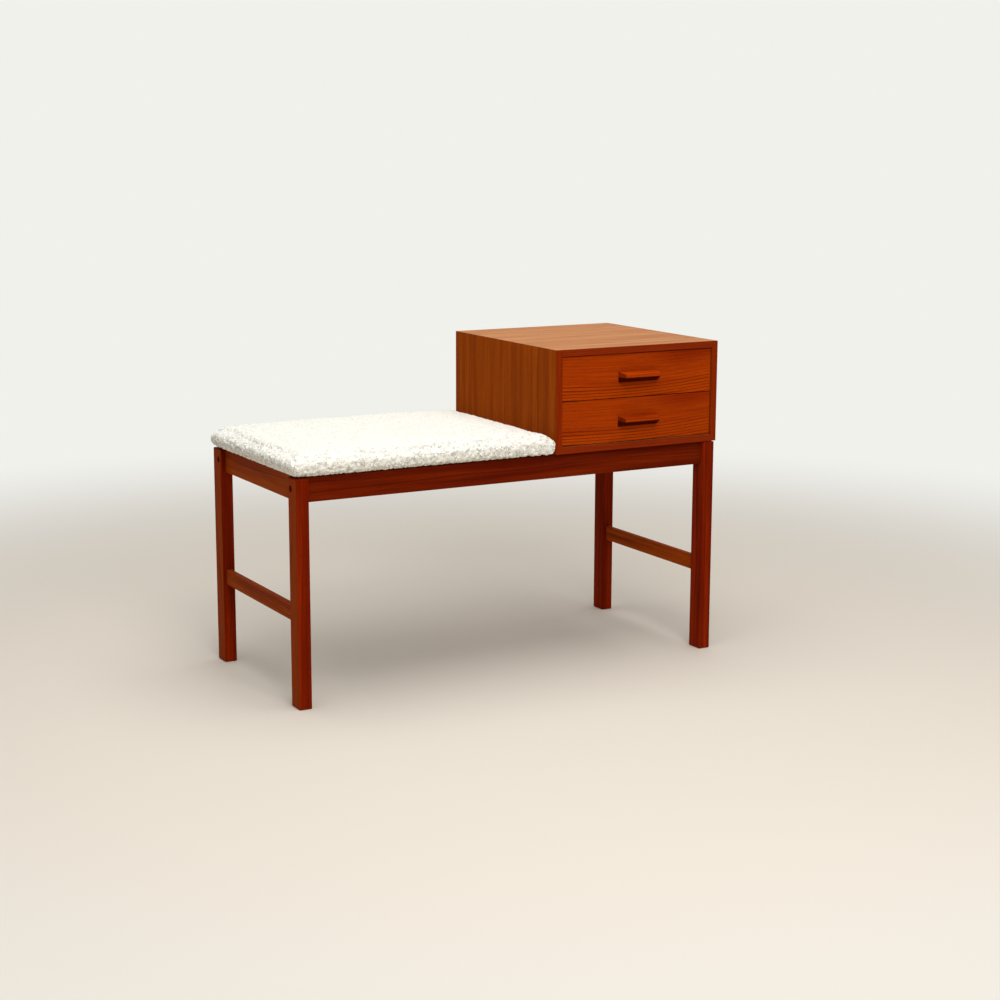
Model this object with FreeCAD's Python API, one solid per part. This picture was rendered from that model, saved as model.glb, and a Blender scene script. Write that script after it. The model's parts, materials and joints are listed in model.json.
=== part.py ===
import FreeCAD, Part
import math
import os

# Telephone bench: an open frame on four legs carries a seat pad and a two-drawer cabinet.
# All lengths are in millimetres. X runs along the bench, Y from front to rear, Z up.
# Working places are taken from the left legs' outer faces (x), the middle of the frame's
# depth (y) and the floor (z), and every piece is moved to the bench's own origin when it is saved.

Vector = FreeCAD.Vector
X = Vector(1, 0, 0)
Y = Vector(0, 1, 0)
Z = Vector(0, 0, 1)

# Frame, measured over its legs
frame_length = 870.0
frame_depth = 390.0
frame_height = 409.5
leg_width = 24.0
leg_depth = 36.0
leg_round = 2.5
leg_chamfer = 1.8

# Rails between the legs at the top, and stretchers between them lower down
rail_height = 43.5
long_rail_thickness = 26.0
long_rail_setback = 10.0
end_rail_thickness = 14.0
end_rail_setback = 10.0
stretcher_height = 29.0
stretcher_thickness = 10.5
stretcher_above_floor = 151.0
bar_round = 1.5

# Joints of the end frames
tenon_length = 12.0
tenon_cheek = 2.0
tenon_shoulder = 4.0
end_dowel_diameter = 8.0
end_dowel_in_leg = 14.0
end_dowel_in_rail = 16.0
end_dowel_spacing = 26.0

# Bolted joints of the long rails
bolt_from_leg_front = 25.0
bolt_below_top = 20.0
bolt_diameter = 6.0
bolt_head_diameter = 10.6
bolt_head_height = 5.0
bolt_socket_across_flats = 5.0
bolt_socket_depth = 3.0
counterbore_diameter = 12.0
counterbore_depth = 8.0
barrel_nut_diameter = 10.0
barrel_nut_length = 14.0
barrel_nut_from_rail_end = 34.0
bolt_past_nut = 6.0
locating_dowel_diameter = 6.0
locating_dowel_in_leg = 10.0
locating_dowel_in_rail = 14.0
locating_dowel_from_rail_face = 6.0
locating_dowel_above_rail_underside = 10.0

# Battens across the long rails, which hold the seat and the cabinet a little above the frame
batten_width = 30.0
batten_height = 22.0
batten_stand = 1.3
batten_lap_length = 12.5
batten_notch_depth = 13.5
seat_batten_inset = 108.0
cabinet_batten_inset = 83.5

# Seat pad
pad_left_overhang = 5.0
pad_side_overhang = 2.0
pad_height = 40.0
pad_crown = 9.0
pad_corner = 14.0
pad_tuck = 7.0
pad_shoulder = 11.0
pad_draw_in = 1.5
pad_trim = 1.0
pad_bays = 6
cover_thickness = 1.5
cover_return = 34.0
lining_thickness = 0.6
lining_lap = 14.0
seat_board_thickness = 12.0
seat_board_inset = 9.0
seat_board_corner = 10.0

# Cabinet case, as deep as the frame
case_width = 357.0
case_depth = frame_depth
case_height = 192.0
case_wall = 12.5
case_side_overhang = 3.5
case_front_setback = 1.0
tongue_thickness = 3.0
tongue_width = 9.0
tongue_place = 0.6
tongue_stop = 12.0
rebate_width = 6.0
rebate_depth = 7.0
back_thickness = 6.0
back_screw_inset = 20.0

# Drawers
drawer_gap = 1.5
drawer_setback = 3.0
space_behind_drawer = 25.0
front_thickness = 17.0
side_thickness = 12.0
side_height = 66.0
side_rise = 4.0
dovetail_lap = 5.0
dovetail_count = 3
dovetail_pin = 6.0
dovetail_slope = 1.0 / 7.0
bottom_thickness = 5.0
bottom_rise = 8.0
groove_depth = 5.0
drawer_back_thickness = 10.0
drawer_back_housing = 3.0
drawer_back_inset = 8.0
drawer_back_drop = 4.0

# Runners on the case's sides
runner_height = 12.0
runner_thickness = 7.0
runner_behind_front = 20.0
runner_from_back = 20.0
runner_clearance = 0.3
runner_screw_inset = 40.0

# Pulls
pull_length = 86.0
pull_front_length = 76.0
pull_height = 20.0
pull_projection = 20.0
pull_top_fall = 4.0
pull_nose_height = 6.0
pull_nose_round = 0.8
pull_below_centre = 2.5
pull_screw_spacing = 44.0

# Wood screws: diameter of the shank, and length
batten_screw = (4.0, 34.0)
pad_screw = (4.0, 30.0)
case_screw = (4.0, 30.0)
back_screw = (2.5, 16.0)
runner_screw = (3.5, 14.0)
pull_screw = (4.0, 28.0)
bottom_screw = (3.0, 16.0)
screw_head_ratio = 2.0
screw_point = 0.6
screw_sink = 0.2
underside_screw_offset = 110.0

# Small hidden rounds have few sides
rod_sides = 10
screw_sides = 8

# Clearances
joint_gap = 0.1
loose_gap = 0.3
pad_to_cabinet = 0.5

# Places that follow from the sizes
leg_inner_x = leg_width
leg_inner_y = frame_depth / 2 - leg_depth
rail_underside = frame_height - rail_height
rail_middle = frame_height - rail_height / 2
rail_outer_y = frame_depth / 2 - long_rail_setback
rail_inner_y = rail_outer_y - long_rail_thickness
seat_level = frame_height + batten_stand
bolt_y = frame_depth / 2 - bolt_from_leg_front
bolt_z = frame_height - bolt_below_top
nut_x = leg_inner_x + barrel_nut_from_rail_end
locating_dowel_y = rail_outer_y - locating_dowel_from_rail_face
locating_dowel_z = rail_underside + locating_dowel_above_rail_underside
end_rail_middle_x = end_rail_setback + end_rail_thickness / 2
stretcher_top = stretcher_above_floor + stretcher_height
middle_x = frame_length / 2

case_right = frame_length + case_side_overhang
case_left = case_right - case_width
case_front = -frame_depth / 2 + case_front_setback
case_rear = case_front + case_depth
case_bottom = seat_level
case_top = case_bottom + case_height
inner_left = case_left + case_wall
inner_right = case_right - case_wall
inner_bottom = case_bottom + case_wall
inner_top = case_top - case_wall
ledge_y = case_rear - rebate_depth

drawer_face = case_front + drawer_setback
drawer_left = inner_left + drawer_gap
drawer_right = inner_right - drawer_gap
drawer_rear = ledge_y - space_behind_drawer
front_rear_face = drawer_face + front_thickness
front_height = (inner_top - inner_bottom - 3 * drawer_gap) / 2
lower_front_underside = inner_bottom + drawer_gap
drawer_pitch = front_height + drawer_gap
side_underside = lower_front_underside + side_rise
side_top = side_underside + side_height
runner_z = side_underside + side_height / 2
runner_groove_end = front_rear_face + runner_behind_front
runner_groove_depth = runner_thickness - drawer_gap + joint_gap + loose_gap
bottom_underside = side_underside + bottom_rise
bottom_top = bottom_underside + bottom_thickness
left_side_inner = drawer_left + side_thickness
right_side_inner = drawer_right - side_thickness

pad_left = -pad_left_overhang
pad_right = case_left - pad_to_cabinet
pad_half_depth = frame_depth / 2 + pad_side_overhang
seat_batten_centres = (pad_left + seat_batten_inset, pad_right - seat_batten_inset)
cabinet_batten_centres = (case_left + cabinet_batten_inset, case_right - cabinet_batten_inset)
pad_underside = seat_level + lining_thickness
pad_top = seat_level + pad_height

left_most = min(0.0, pad_left)
right_most = max(frame_length, case_right)
front_most = min(drawer_face - pull_projection, -pad_half_depth)
rear_most = max(case_rear, pad_half_depth)
origin = Vector((left_most + right_most) / 2, (front_most + rear_most) / 2, 0)


def block(x0, x1, y0, y1, z0, z1):
    """A straight-sided block between two corners."""
    return Part.makeBox(x1 - x0, y1 - y0, z1 - z0, Vector(x0, y0, z0))


def prism(points, sweep):
    """A closed outline of points swept along a straight line."""
    return flat_face(points).extrude(sweep)


def ring(diameter, centre, direction, sides):
    """Corners of a regular outline of a few sides round a line."""
    turn = FreeCAD.Rotation(Z, direction)
    angles = [2 * math.pi * (step + 0.5) / sides for step in range(sides)]
    return [
        centre + turn.multVec(Vector(math.cos(angle), math.sin(angle), 0)) * (diameter / 2)
        for angle in angles
    ]


def flat_face(corners):
    """A flat face inside its corners."""
    return Part.Face(Part.makePolygon(corners + corners[:1]))


def faceted(rings):
    """A solid of flat faces through a row of like rings of corners."""
    faces = [flat_face(rings[0][::-1]), flat_face(rings[-1])]
    for near, far in zip(rings, rings[1:]):
        turns = zip(near, near[1:] + near[:1], far[1:] + far[:1], far)
        faces += [flat_face(list(corners)) for corners in turns]
    return Part.makeSolid(Part.makeShell(faces))


def rod(diameter, start, direction, length):
    """A hidden dowel, shank or nut with few sides, or the hole for one."""
    ends = (start, start + direction * length)
    return faceted([ring(diameter, end, direction, rod_sides) for end in ends])


def cylinder(diameter, start, direction, length):
    """A round that shows."""
    return Part.makeCylinder(diameter / 2, length, start, direction)


def eased(solid, radius, direction):
    """The solid with its straight edges along one direction rounded."""
    along = [
        edge for edge in solid.Edges
        if abs(edge.tangentAt(edge.FirstParameter).dot(direction)) > 0.999
    ]
    return solid.makeFillet(radius, along)


def mirrored_x(solid):
    """The same piece at the other end of the frame."""
    return solid.mirror(Vector(middle_x, 0, 0), X)


def mirrored_y(solid):
    """The same piece on the other side of the frame, front or rear."""
    return solid.mirror(Vector(0, 0, 0), Y)


def at_four_corners(solid):
    """A piece of the front left corner, repeated at all four corners of the frame."""
    front = [solid, mirrored_x(solid)]
    return front + [mirrored_y(piece) for piece in front]


def cut_all(solid, tools):
    """The solid with each of the tools cut out of it."""
    for tool in tools:
        solid = solid.cut(tool)
    return solid


def wood_screw(size, head, direction, ease=0.0):
    """A countersunk wood screw from the middle of its head, or with some ease the hole it is driven into."""
    diameter, length = size
    shank = diameter + 2 * ease
    head_diameter = diameter * screw_head_ratio + 2 * ease
    cone = (head_diameter - shank) / 2
    stations = [(head_diameter, 0), (shank, cone), (shank, length - diameter), (screw_point + 2 * ease, length + ease)]
    if ease:
        stations.insert(0, (head_diameter, -screw_sink))
    start = head + direction * screw_sink
    return faceted([ring(wide, start + direction * along, direction, screw_sides) for wide, along in stations])


def screw_set(size, heads, direction):
    """Like screws with the same direction, as one group, and the holes they need."""
    screws = [wood_screw(size, head, direction) for head in heads]
    holes = [wood_screw(size, head, direction, joint_gap) for head in heads]
    return screws, holes


# Holes that the legs and rails share, all for the front left corner

def bolt_hole():
    """Bolt bore through the leg into the long rail, with the counterbore for its head."""
    bore_length = nut_x + barrel_nut_diameter / 2 + bolt_past_nut
    bore = rod(bolt_diameter + 2 * loose_gap, Vector(0, -bolt_y, bolt_z), X, bore_length)
    counterbore = cylinder(counterbore_diameter, Vector(0, -bolt_y, bolt_z), X, counterbore_depth)
    return bore.fuse(counterbore)


def nut_hole():
    """Cross bore for the barrel nut, from the long rail's inner face."""
    length = bolt_y - rail_inner_y + barrel_nut_length / 2 + loose_gap
    return rod(barrel_nut_diameter + 2 * joint_gap, Vector(nut_x, -rail_inner_y, bolt_z), -Y, length)


def locating_dowel(ease=0.0):
    """Dowel beside the bolt that keeps the long rail from turning."""
    start = leg_inner_x - locating_dowel_in_leg - 5 * ease
    length = locating_dowel_in_leg + locating_dowel_in_rail + 10 * ease
    place = Vector(start, -locating_dowel_y, locating_dowel_z)
    return rod(locating_dowel_diameter + 2 * ease, place, X, length)


def end_dowels(ease=0.0):
    """The two dowels that join the end rail to the leg."""
    start = -leg_inner_y - end_dowel_in_leg - 5 * ease
    length = end_dowel_in_leg + end_dowel_in_rail + 10 * ease
    heights = (rail_middle - end_dowel_spacing / 2, rail_middle + end_dowel_spacing / 2)
    return [
        rod(end_dowel_diameter + 2 * ease, Vector(end_rail_middle_x, start, height), Y, length)
        for height in heights
    ]


def stretcher_tenon(ease=0.0):
    """Stub tenon at the stretcher's front end, or with some ease the mortise that takes it."""
    half = stretcher_thickness / 2 - tenon_cheek + ease
    low = stretcher_above_floor + tenon_shoulder - ease
    high = stretcher_top - tenon_shoulder + ease
    end = -leg_inner_y - tenon_length - 5 * ease
    return block(leg_width / 2 - half, leg_width / 2 + half, end, -leg_inner_y, low, high)


# Frame pieces

def make_leg():
    """Front left leg, rounded on its arrises and chamfered at its top and foot."""
    size = (0, leg_width, -frame_depth / 2, -leg_inner_y, 0, frame_height)
    post = eased(block(*size), leg_round, Z)
    squared = block(*size)
    level = [edge for edge in squared.Edges if edge.BoundBox.ZLength < 1e-6]
    post = post.common(squared.makeChamfer(leg_chamfer, level))
    holes = [bolt_hole(), locating_dowel(joint_gap), stretcher_tenon(joint_gap)]
    return cut_all(post, holes + end_dowels(joint_gap))


def make_end_rail():
    """Left end rail, between the front and rear legs, flush with their inner faces."""
    rail = block(
        end_rail_setback, end_rail_setback + end_rail_thickness,
        -leg_inner_y, leg_inner_y, rail_underside, frame_height,
    )
    holes = end_dowels(joint_gap)
    return cut_all(eased(rail, bar_round, Y), holes + [mirrored_y(hole) for hole in holes])


def make_stretcher():
    """Left stretcher, with a stub tenon at each end."""
    half = stretcher_thickness / 2
    bar = block(
        leg_width / 2 - half, leg_width / 2 + half,
        -leg_inner_y, leg_inner_y, stretcher_above_floor, stretcher_top,
    )
    tenon = stretcher_tenon()
    return eased(bar, bar_round, Y).fuse([tenon, mirrored_y(tenon)]).removeSplitter()


def batten_centres():
    return seat_batten_centres + cabinet_batten_centres


def make_batten(centre):
    """Batten with a lap at each end that drops into the long rails' notches."""
    half = batten_width / 2
    body = block(
        centre - half, centre + half, -rail_inner_y, rail_inner_y,
        seat_level - batten_height, seat_level,
    )
    reach = rail_inner_y + batten_lap_length
    laps = block(
        centre - half, centre + half, -reach, reach,
        frame_height - batten_notch_depth, seat_level,
    )
    return body.fuse(laps).removeSplitter()


def batten_notches():
    """Notches in the front rail's upper inner edge, one for each batten."""
    half = batten_width / 2 + joint_gap
    reach = rail_inner_y + batten_lap_length + loose_gap
    return [
        block(
            centre - half, centre + half, -reach, -rail_inner_y,
            frame_height - batten_notch_depth, frame_height,
        )
        for centre in batten_centres()
    ]


def batten_screw_heads(sides):
    """Where the screws through the battens' laps have their heads, on the sides named by their signs."""
    y = rail_inner_y + batten_lap_length / 2
    return [Vector(centre, side * y, seat_level) for centre in batten_centres() for side in sides]


def underside_screw_heads(centres):
    """Where the screws driven up through the battens have their heads."""
    z = seat_level - batten_height
    offsets = (-underside_screw_offset, underside_screw_offset)
    return [Vector(centre, offset, z) for centre in centres for offset in offsets]


def make_long_rail():
    """Front long rail between the legs, with its bolt, nut, dowel and batten housings."""
    rail = block(
        leg_inner_x, frame_length - leg_inner_x,
        -rail_outer_y, -rail_inner_y, rail_underside, frame_height,
    )
    end_holes = [bolt_hole(), nut_hole(), locating_dowel(joint_gap)]
    holes = end_holes + [mirrored_x(hole) for hole in end_holes]
    pilots = screw_set(batten_screw, batten_screw_heads((-1,)), -Z)[1]
    return cut_all(eased(rail, bar_round, X), holes + batten_notches() + pilots)


def make_bolt():
    """Connecting bolt with a hexagon socket in its round head."""
    seat = Vector(counterbore_depth, -bolt_y, bolt_z)
    head = cylinder(bolt_head_diameter, seat - X * bolt_head_height, X, bolt_head_height)
    shank_length = nut_x + barrel_nut_diameter / 2 + bolt_past_nut / 2 - counterbore_depth
    shank = rod(bolt_diameter, seat, X, shank_length)
    corner = bolt_socket_across_flats / math.sqrt(3)
    hexagon = [
        seat - X * bolt_head_height
        + Vector(0, corner * math.cos(math.radians(60 * step)), corner * math.sin(math.radians(60 * step)))
        for step in range(6)
    ]
    return head.fuse(shank).removeSplitter().cut(prism(hexagon, X * bolt_socket_depth))


def make_barrel_nut():
    """Barrel nut across the long rail, which the bolt screws into."""
    start = Vector(nut_x, -bolt_y - barrel_nut_length / 2, bolt_z)
    nut = rod(barrel_nut_diameter, start, Y, barrel_nut_length)
    bore = rod(
        bolt_diameter + 2 * joint_gap, Vector(nut_x - barrel_nut_diameter, -bolt_y, bolt_z),
        X, 2 * barrel_nut_diameter,
    )
    return nut.cut(bore)


# Seat pad

def pad_outline(x, half, low, high, rounding, rise):
    """Upright outline across the pad: tucked under, drawn in at the shoulders and crowned on top."""
    tuck = pad_tuck * rounding
    shoulder = pad_shoulder * rounding
    lean = shoulder / 6
    bend = 1 - math.sqrt(0.5)
    side_low = low + tuck
    side_high = high - shoulder
    right = [
        Vector(x, half - tuck, low),
        Vector(x, half - tuck * bend, low + tuck * bend),
        Vector(x, half, side_low),
        Vector(x, half - lean, side_high),
        Vector(x, half - lean - shoulder * bend, high - shoulder * bend),
        Vector(x, half - lean - shoulder, high),
    ]
    left = [Vector(x, -point.y, point.z) for point in right]
    crown = Vector(x, 0, high + rise)
    edges = [
        Part.LineSegment(left[0], right[0]),
        Part.Arc(right[0], right[1], right[2]),
        Part.LineSegment(right[2], right[3]),
        Part.Arc(right[3], right[4], right[5]),
        Part.Arc(right[5], crown, left[5]),
        Part.Arc(left[5], left[4], left[3]),
        Part.LineSegment(left[3], left[2]),
        Part.Arc(left[2], left[1], left[0]),
    ]
    return Part.Wire([edge.toShape() for edge in edges])


def pad_loft(stations, skin):
    """The pad's swollen form through outlines at stations of (distance from its left end, fullness)."""
    length = pad_right - pad_left
    outlines = []
    for distance, fullness in stations:
        share = distance / length
        draw = pad_draw_in * 4 * share * (1 - share)
        inset = pad_corner * (1 - fullness)
        low = pad_underside + skin - pad_trim + pad_tuck * (1 - fullness)
        high = pad_top - pad_crown - skin - pad_shoulder * (1 - fullness)
        rise = pad_crown * (1 - 0.8 * abs(2 * share - 1) ** 3)
        x = pad_left + skin + share * (length - 2 * skin)
        outlines.append(pad_outline(x, pad_half_depth - draw - inset - skin, low, high, 0.3 + 0.7 * fullness, rise))
    return Part.makeLoft(outlines, True, True)


def pad_form(skin):
    """The pad's swollen form, or its form under a skin of some thickness, cut flat underneath."""
    length = pad_right - pad_left
    turn = [math.radians(angle) for angle in (0, 22.5, 45, 67.5, 90)]
    end = [(pad_corner * (1 - math.cos(angle)), math.sin(angle)) for angle in turn]
    straight = length - 2 * pad_corner
    middle = [(pad_corner + straight * step / pad_bays, 1.0) for step in range(pad_bays + 1)]
    other_end = [(length - distance, fullness) for distance, fullness in reversed(end)]
    form = pad_loft(end[:-1] + middle + other_end[1:], skin)
    above = block(
        pad_left - 1, pad_right + 1, -pad_half_depth - 1, pad_half_depth + 1,
        pad_underside + skin, pad_top + 1,
    )
    return form.common(above)


def make_seat_board():
    """Plywood board under the foam."""
    low = pad_underside + cover_thickness
    board = block(
        pad_left + seat_board_inset, pad_right - seat_board_inset,
        -pad_half_depth + seat_board_inset, pad_half_depth - seat_board_inset,
        low, low + seat_board_thickness,
    )
    return eased(board, seat_board_corner, Z)


def make_lining():
    """Thin lining under the board, over the turned-in edges of the cover."""
    inset = cover_return - lining_lap
    sheet = block(
        pad_left + inset, pad_right - inset, -pad_half_depth + inset, pad_half_depth - inset,
        seat_level, seat_level + lining_thickness,
    )
    return sheet


def make_pad(screw_holes):
    """The pad's board, foam, cover and lining."""
    board = make_seat_board()
    inner = pad_form(cover_thickness)
    window = block(
        pad_left + cover_return, pad_right - cover_return,
        -pad_half_depth + cover_return, pad_half_depth - cover_return,
        seat_level, pad_underside + cover_thickness + seat_board_thickness / 2,
    )
    foam = inner.cut(board)
    cover = pad_form(0).cut(inner).cut(window)
    return {
        "seat_board": cut_all(board, screw_holes),
        "seat_foam": foam,
        "seat_cover": cover,
        "seat_lining": cut_all(make_lining(), screw_holes),
    }


# Cabinet case

def mitred_board(outline):
    """A board of the case, from its outline seen from the front."""
    points = [Vector(x, case_front, z) for x, z in outline]
    return prism(points, Y * case_depth)


def tongue_box(corner_x, corner_z, inward_x, inward_z, ease=0.0):
    """Loose tongue across the mitre at one corner of the case, or with some ease its slot."""
    place = case_wall * tongue_place
    middle = Vector(corner_x + inward_x * place, 0, corner_z + inward_z * place)
    along = Vector(inward_x, 0, inward_z).normalize()
    across = Vector(inward_x, 0, -inward_z).normalize()
    half_thick = along * (tongue_thickness / 2 + ease)
    half_wide = across * (tongue_width / 2 + ease)
    start = case_front + tongue_stop - ease
    end = ledge_y - tongue_stop + ease
    corners = [
        middle - half_thick - half_wide, middle + half_thick - half_wide,
        middle + half_thick + half_wide, middle - half_thick + half_wide,
    ]
    points = [Vector(corner.x, start, corner.z) for corner in corners]
    return prism(points, Y * (end - start))


def case_tongues(ease=0.0):
    """The four loose tongues in the case's mitred corners."""
    corners = (
        (case_left, case_bottom, 1, 1),
        (case_right, case_bottom, -1, 1),
        (case_right, case_top, -1, -1),
        (case_left, case_top, 1, -1),
    )
    return [tongue_box(*corner, ease) for corner in corners]


def back_screw_heads():
    """Where the screws of the back have their heads, along its top and bottom edges."""
    y = ledge_y + back_thickness
    ledges = (inner_bottom - rebate_width / 2, inner_top + rebate_width / 2)
    places = (inner_left + back_screw_inset, inner_right - back_screw_inset)
    return [Vector(x, y, z) for z in ledges for x in places]


def runner_screw_heads(side):
    """Where the screws of the runners on one side (-1 left, 1 right) have their heads."""
    x = inner_left + runner_thickness if side < 0 else inner_right - runner_thickness
    ends = (
        runner_groove_end + loose_gap + runner_screw_inset,
        ledge_y - runner_from_back - runner_screw_inset,
    )
    return [Vector(x, y, runner_z + level * drawer_pitch) for level in (0, 1) for y in ends]


def make_runner(side, level):
    """Wooden runner on one side of the case for one drawer, its front end the drawer's stop."""
    x0 = inner_left if side < 0 else inner_right - runner_thickness
    z = runner_z + level * drawer_pitch
    return block(
        x0, x0 + runner_thickness, runner_groove_end + loose_gap, ledge_y - runner_from_back,
        z - runner_height / 2, z + runner_height / 2,
    )


def make_case(case_screw_holes, back_screw_holes, runner_screw_holes):
    """The four mitred boards of the case and its back."""
    outlines = {
        "case_top": [
            (case_left, case_top), (case_right, case_top), (inner_right, inner_top), (inner_left, inner_top),
        ],
        "case_bottom": [
            (case_left, case_bottom), (inner_left, inner_bottom),
            (inner_right, inner_bottom), (case_right, case_bottom),
        ],
        "case_left_side": [
            (case_left, case_bottom), (case_left, case_top), (inner_left, inner_top), (inner_left, inner_bottom),
        ],
        "case_right_side": [
            (case_right, case_bottom), (inner_right, inner_bottom), (inner_right, inner_top), (case_right, case_top),
        ],
    }
    rebate = block(
        inner_left - rebate_width, inner_right + rebate_width, ledge_y, case_rear,
        inner_bottom - rebate_width, inner_top + rebate_width,
    )
    shared = [rebate] + case_tongues(joint_gap)
    holes = {
        "case_top": back_screw_holes,
        "case_bottom": back_screw_holes + case_screw_holes,
        "case_left_side": runner_screw_holes,
        "case_right_side": runner_screw_holes,
    }
    boards = {
        name: cut_all(mitred_board(outline), shared + holes[name])
        for name, outline in outlines.items()
    }
    lip = rebate_width - loose_gap
    back = block(
        inner_left - lip, inner_right + lip, ledge_y, ledge_y + back_thickness,
        inner_bottom - lip, inner_top + lip,
    )
    boards["case_back"] = cut_all(back, back_screw_holes)
    return boards


# Drawers, made at the lower drawer's place

def dovetails(x0, x1):
    """Tails at the front end of a drawer side that lies between two places along the bench."""
    length = front_thickness - dovetail_lap
    pitch = side_height / dovetail_count
    wide = (pitch - dovetail_pin) / 2
    narrow = wide - length * dovetail_slope
    tails = []
    for index in range(dovetail_count):
        z = side_underside + pitch * (index + 0.5)
        tails.append(prism(
            [
                Vector(x0, front_rear_face, z - narrow), Vector(x0, front_rear_face - length, z - wide),
                Vector(x0, front_rear_face - length, z + wide), Vector(x0, front_rear_face, z + narrow),
            ],
            X * (x1 - x0),
        ))
    return tails


def bottom_groove():
    """Groove round the inside of the drawer that holds its bottom."""
    return block(
        left_side_inner - groove_depth, right_side_inner + groove_depth,
        front_rear_face - groove_depth, drawer_rear,
        bottom_underside - joint_gap, bottom_top + joint_gap,
    )


def back_housing():
    """Housing across the inside of the drawer's sides that holds its back."""
    rear = drawer_rear - drawer_back_inset + joint_gap
    return block(
        left_side_inner - drawer_back_housing, right_side_inner + drawer_back_housing,
        rear - drawer_back_thickness - 2 * joint_gap, rear, bottom_top, side_top,
    )


def make_drawer_side(x0, x1, groove_x0, groove_x1):
    """Drawer side with its tails, and the groove that slides on the runner."""
    board = block(x0, x1, front_rear_face, drawer_rear, side_underside, side_top)
    board = board.fuse(dovetails(x0, x1)).removeSplitter()
    half = runner_height / 2 + runner_clearance
    runner_groove = block(
        groove_x0, groove_x1, runner_groove_end, drawer_rear, runner_z - half, runner_z + half,
    )
    return cut_all(board, [runner_groove, bottom_groove(), back_housing()])


def make_drawer_front(pull_screw_holes):
    """Drawer front, with sockets for the sides' tails in its ends."""
    board = block(
        drawer_left, drawer_right, drawer_face, front_rear_face,
        lower_front_underside, lower_front_underside + front_height,
    )
    sockets = dovetails(drawer_left, left_side_inner) + dovetails(right_side_inner, drawer_right)
    return cut_all(board, sockets + [bottom_groove()] + pull_screw_holes)


def make_drawer_back(bottom_screw_holes):
    rear = drawer_rear - drawer_back_inset
    lip = drawer_back_housing - joint_gap
    back = block(
        left_side_inner - lip, right_side_inner + lip, rear - drawer_back_thickness, rear,
        bottom_top + joint_gap, side_top - drawer_back_drop,
    )
    return cut_all(back, bottom_screw_holes)


def make_drawer_bottom(bottom_screw_holes):
    lip = groove_depth - loose_gap
    bottom = block(
        left_side_inner - lip, right_side_inner + lip, front_rear_face - lip, drawer_rear,
        bottom_underside, bottom_top,
    )
    return cut_all(bottom, bottom_screw_holes)


def pull_centre():
    middle = (drawer_left + drawer_right) / 2
    return Vector(middle, drawer_face, lower_front_underside + front_height / 2 - pull_below_centre)


def make_pull(pull_screw_holes):
    """Bar pull with a blunt nose: its top falls a little, its underside rises, and its ends slant in plan."""
    centre = pull_centre()
    half = pull_height / 2
    nose_top = half - pull_top_fall

    def place(outward, height):
        return centre + Vector(-pull_length / 2, -outward, height)

    profile = [
        place(0, -half), place(0, half),
        place(pull_projection, nose_top), place(pull_projection, nose_top - pull_nose_height),
    ]
    bar = prism(profile, X * pull_length)
    nose_edges = [
        edge for edge in bar.Edges
        if edge.BoundBox.XLength > pull_front_length and edge.BoundBox.YMax < centre.y - pull_nose_round
    ]
    plan = [
        centre + Vector(-pull_length / 2, 0, -half), centre + Vector(pull_length / 2, 0, -half),
        centre + Vector(pull_front_length / 2, -pull_projection, -half),
        centre + Vector(-pull_front_length / 2, -pull_projection, -half),
    ]
    bar = bar.makeFillet(pull_nose_round, nose_edges)
    return cut_all(bar.common(prism(plan, Z * pull_height)), pull_screw_holes)


def make_drawer():
    """All the pieces of one drawer."""
    centre = pull_centre()
    pull_heads = [
        Vector(centre.x + side * pull_screw_spacing / 2, front_rear_face, centre.z) for side in (-1, 1)
    ]
    pull_screws, pull_holes = screw_set(pull_screw, pull_heads, -Y)
    back_middle = drawer_rear - drawer_back_inset - drawer_back_thickness / 2
    bottom_heads = [Vector(centre.x, back_middle, bottom_underside)]
    bottom_screws, bottom_holes = screw_set(bottom_screw, bottom_heads, Z)
    return {
        "front": make_drawer_front(pull_holes),
        "left_side": make_drawer_side(
            drawer_left, left_side_inner, drawer_left, drawer_left + runner_groove_depth,
        ),
        "right_side": make_drawer_side(
            right_side_inner, drawer_right, drawer_right - runner_groove_depth, drawer_right,
        ),
        "back": make_drawer_back(bottom_holes),
        "bottom": make_drawer_bottom(bottom_holes),
        "bottom_screw": bottom_screws[0],
        "pull": make_pull(pull_holes),
        "pull_screws": Part.Compound(pull_screws),
    }


def make_frame():
    """Legs, rails, stretchers and battens, with what joins them."""
    corner_names = ("front_left_leg", "front_right_leg", "rear_left_leg", "rear_right_leg")
    pieces = dict(zip(corner_names, at_four_corners(make_leg())))
    front_rail = make_long_rail()
    end_rail = make_end_rail()
    stretcher = make_stretcher()
    pieces["front_rail"] = front_rail
    pieces["rear_rail"] = mirrored_y(front_rail)
    pieces["left_end_rail"] = end_rail
    pieces["right_end_rail"] = mirrored_x(end_rail)
    pieces["left_stretcher"] = stretcher
    pieces["right_stretcher"] = mirrored_x(stretcher)
    pieces["connecting_bolts"] = Part.Compound(at_four_corners(make_bolt()))
    pieces["barrel_nuts"] = Part.Compound(at_four_corners(make_barrel_nut()))
    pieces["locating_dowels"] = Part.Compound(at_four_corners(locating_dowel()))
    low_dowel, high_dowel = end_dowels()
    pieces["end_rail_dowels"] = Part.Compound(at_four_corners(low_dowel) + at_four_corners(high_dowel))
    return pieces


def make_battens(own_holes):
    names = ("seat_batten_left", "seat_batten_right", "cabinet_batten_left", "cabinet_batten_right")
    return {
        name: cut_all(make_batten(centre), own_holes)
        for name, centre in zip(names, batten_centres())
    }


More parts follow.
